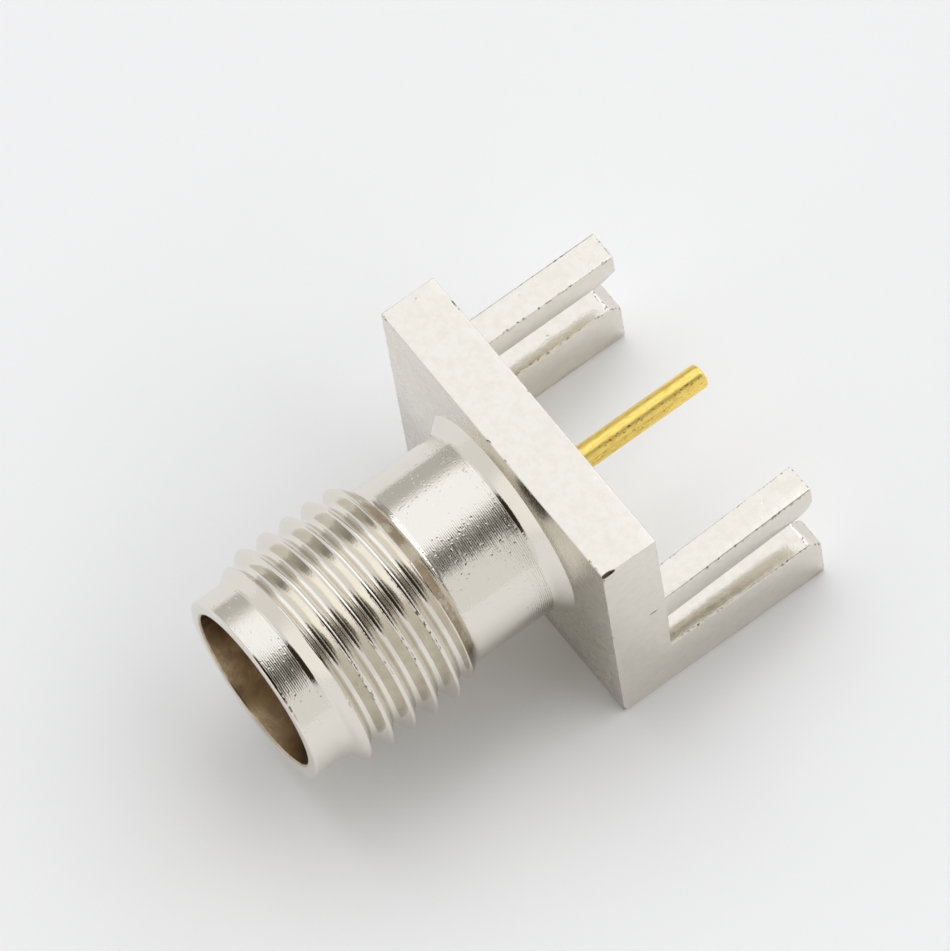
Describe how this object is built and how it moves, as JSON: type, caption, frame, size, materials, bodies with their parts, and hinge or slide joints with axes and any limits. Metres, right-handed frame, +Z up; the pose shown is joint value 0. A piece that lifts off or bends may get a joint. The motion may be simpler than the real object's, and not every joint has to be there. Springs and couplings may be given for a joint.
{
  "type": "sma connector",
  "caption": "Edge-launch coaxial jack: threaded barrel on a rectangular flange, with legs that straddle a board and a solder pin.",
  "frame": {"origin": "where the barrel's axis meets the flange's rear face, the face that the board's edge butts against", "axes": "-Y along the barrel, out of its open nose; +Y along the legs and the solder pin; +Z up, away from the board slot's side; +X across the flange"},
  "size_m": [0.0096, 0.0145, 0.0082],
  "materials": {
    "nickel_plate": "bright nickel plating over turned and milled brass",
    "ptfe": "smooth white fluoropolymer",
    "gold_plate": "gold plating with fine lengthwise drawing lines"
  },
  "bodies": {
    "root": {"connector_body": "nickel_plate", "insulator": "ptfe", "centre_contact": "gold_plate"}
  },
  "joints": []
}
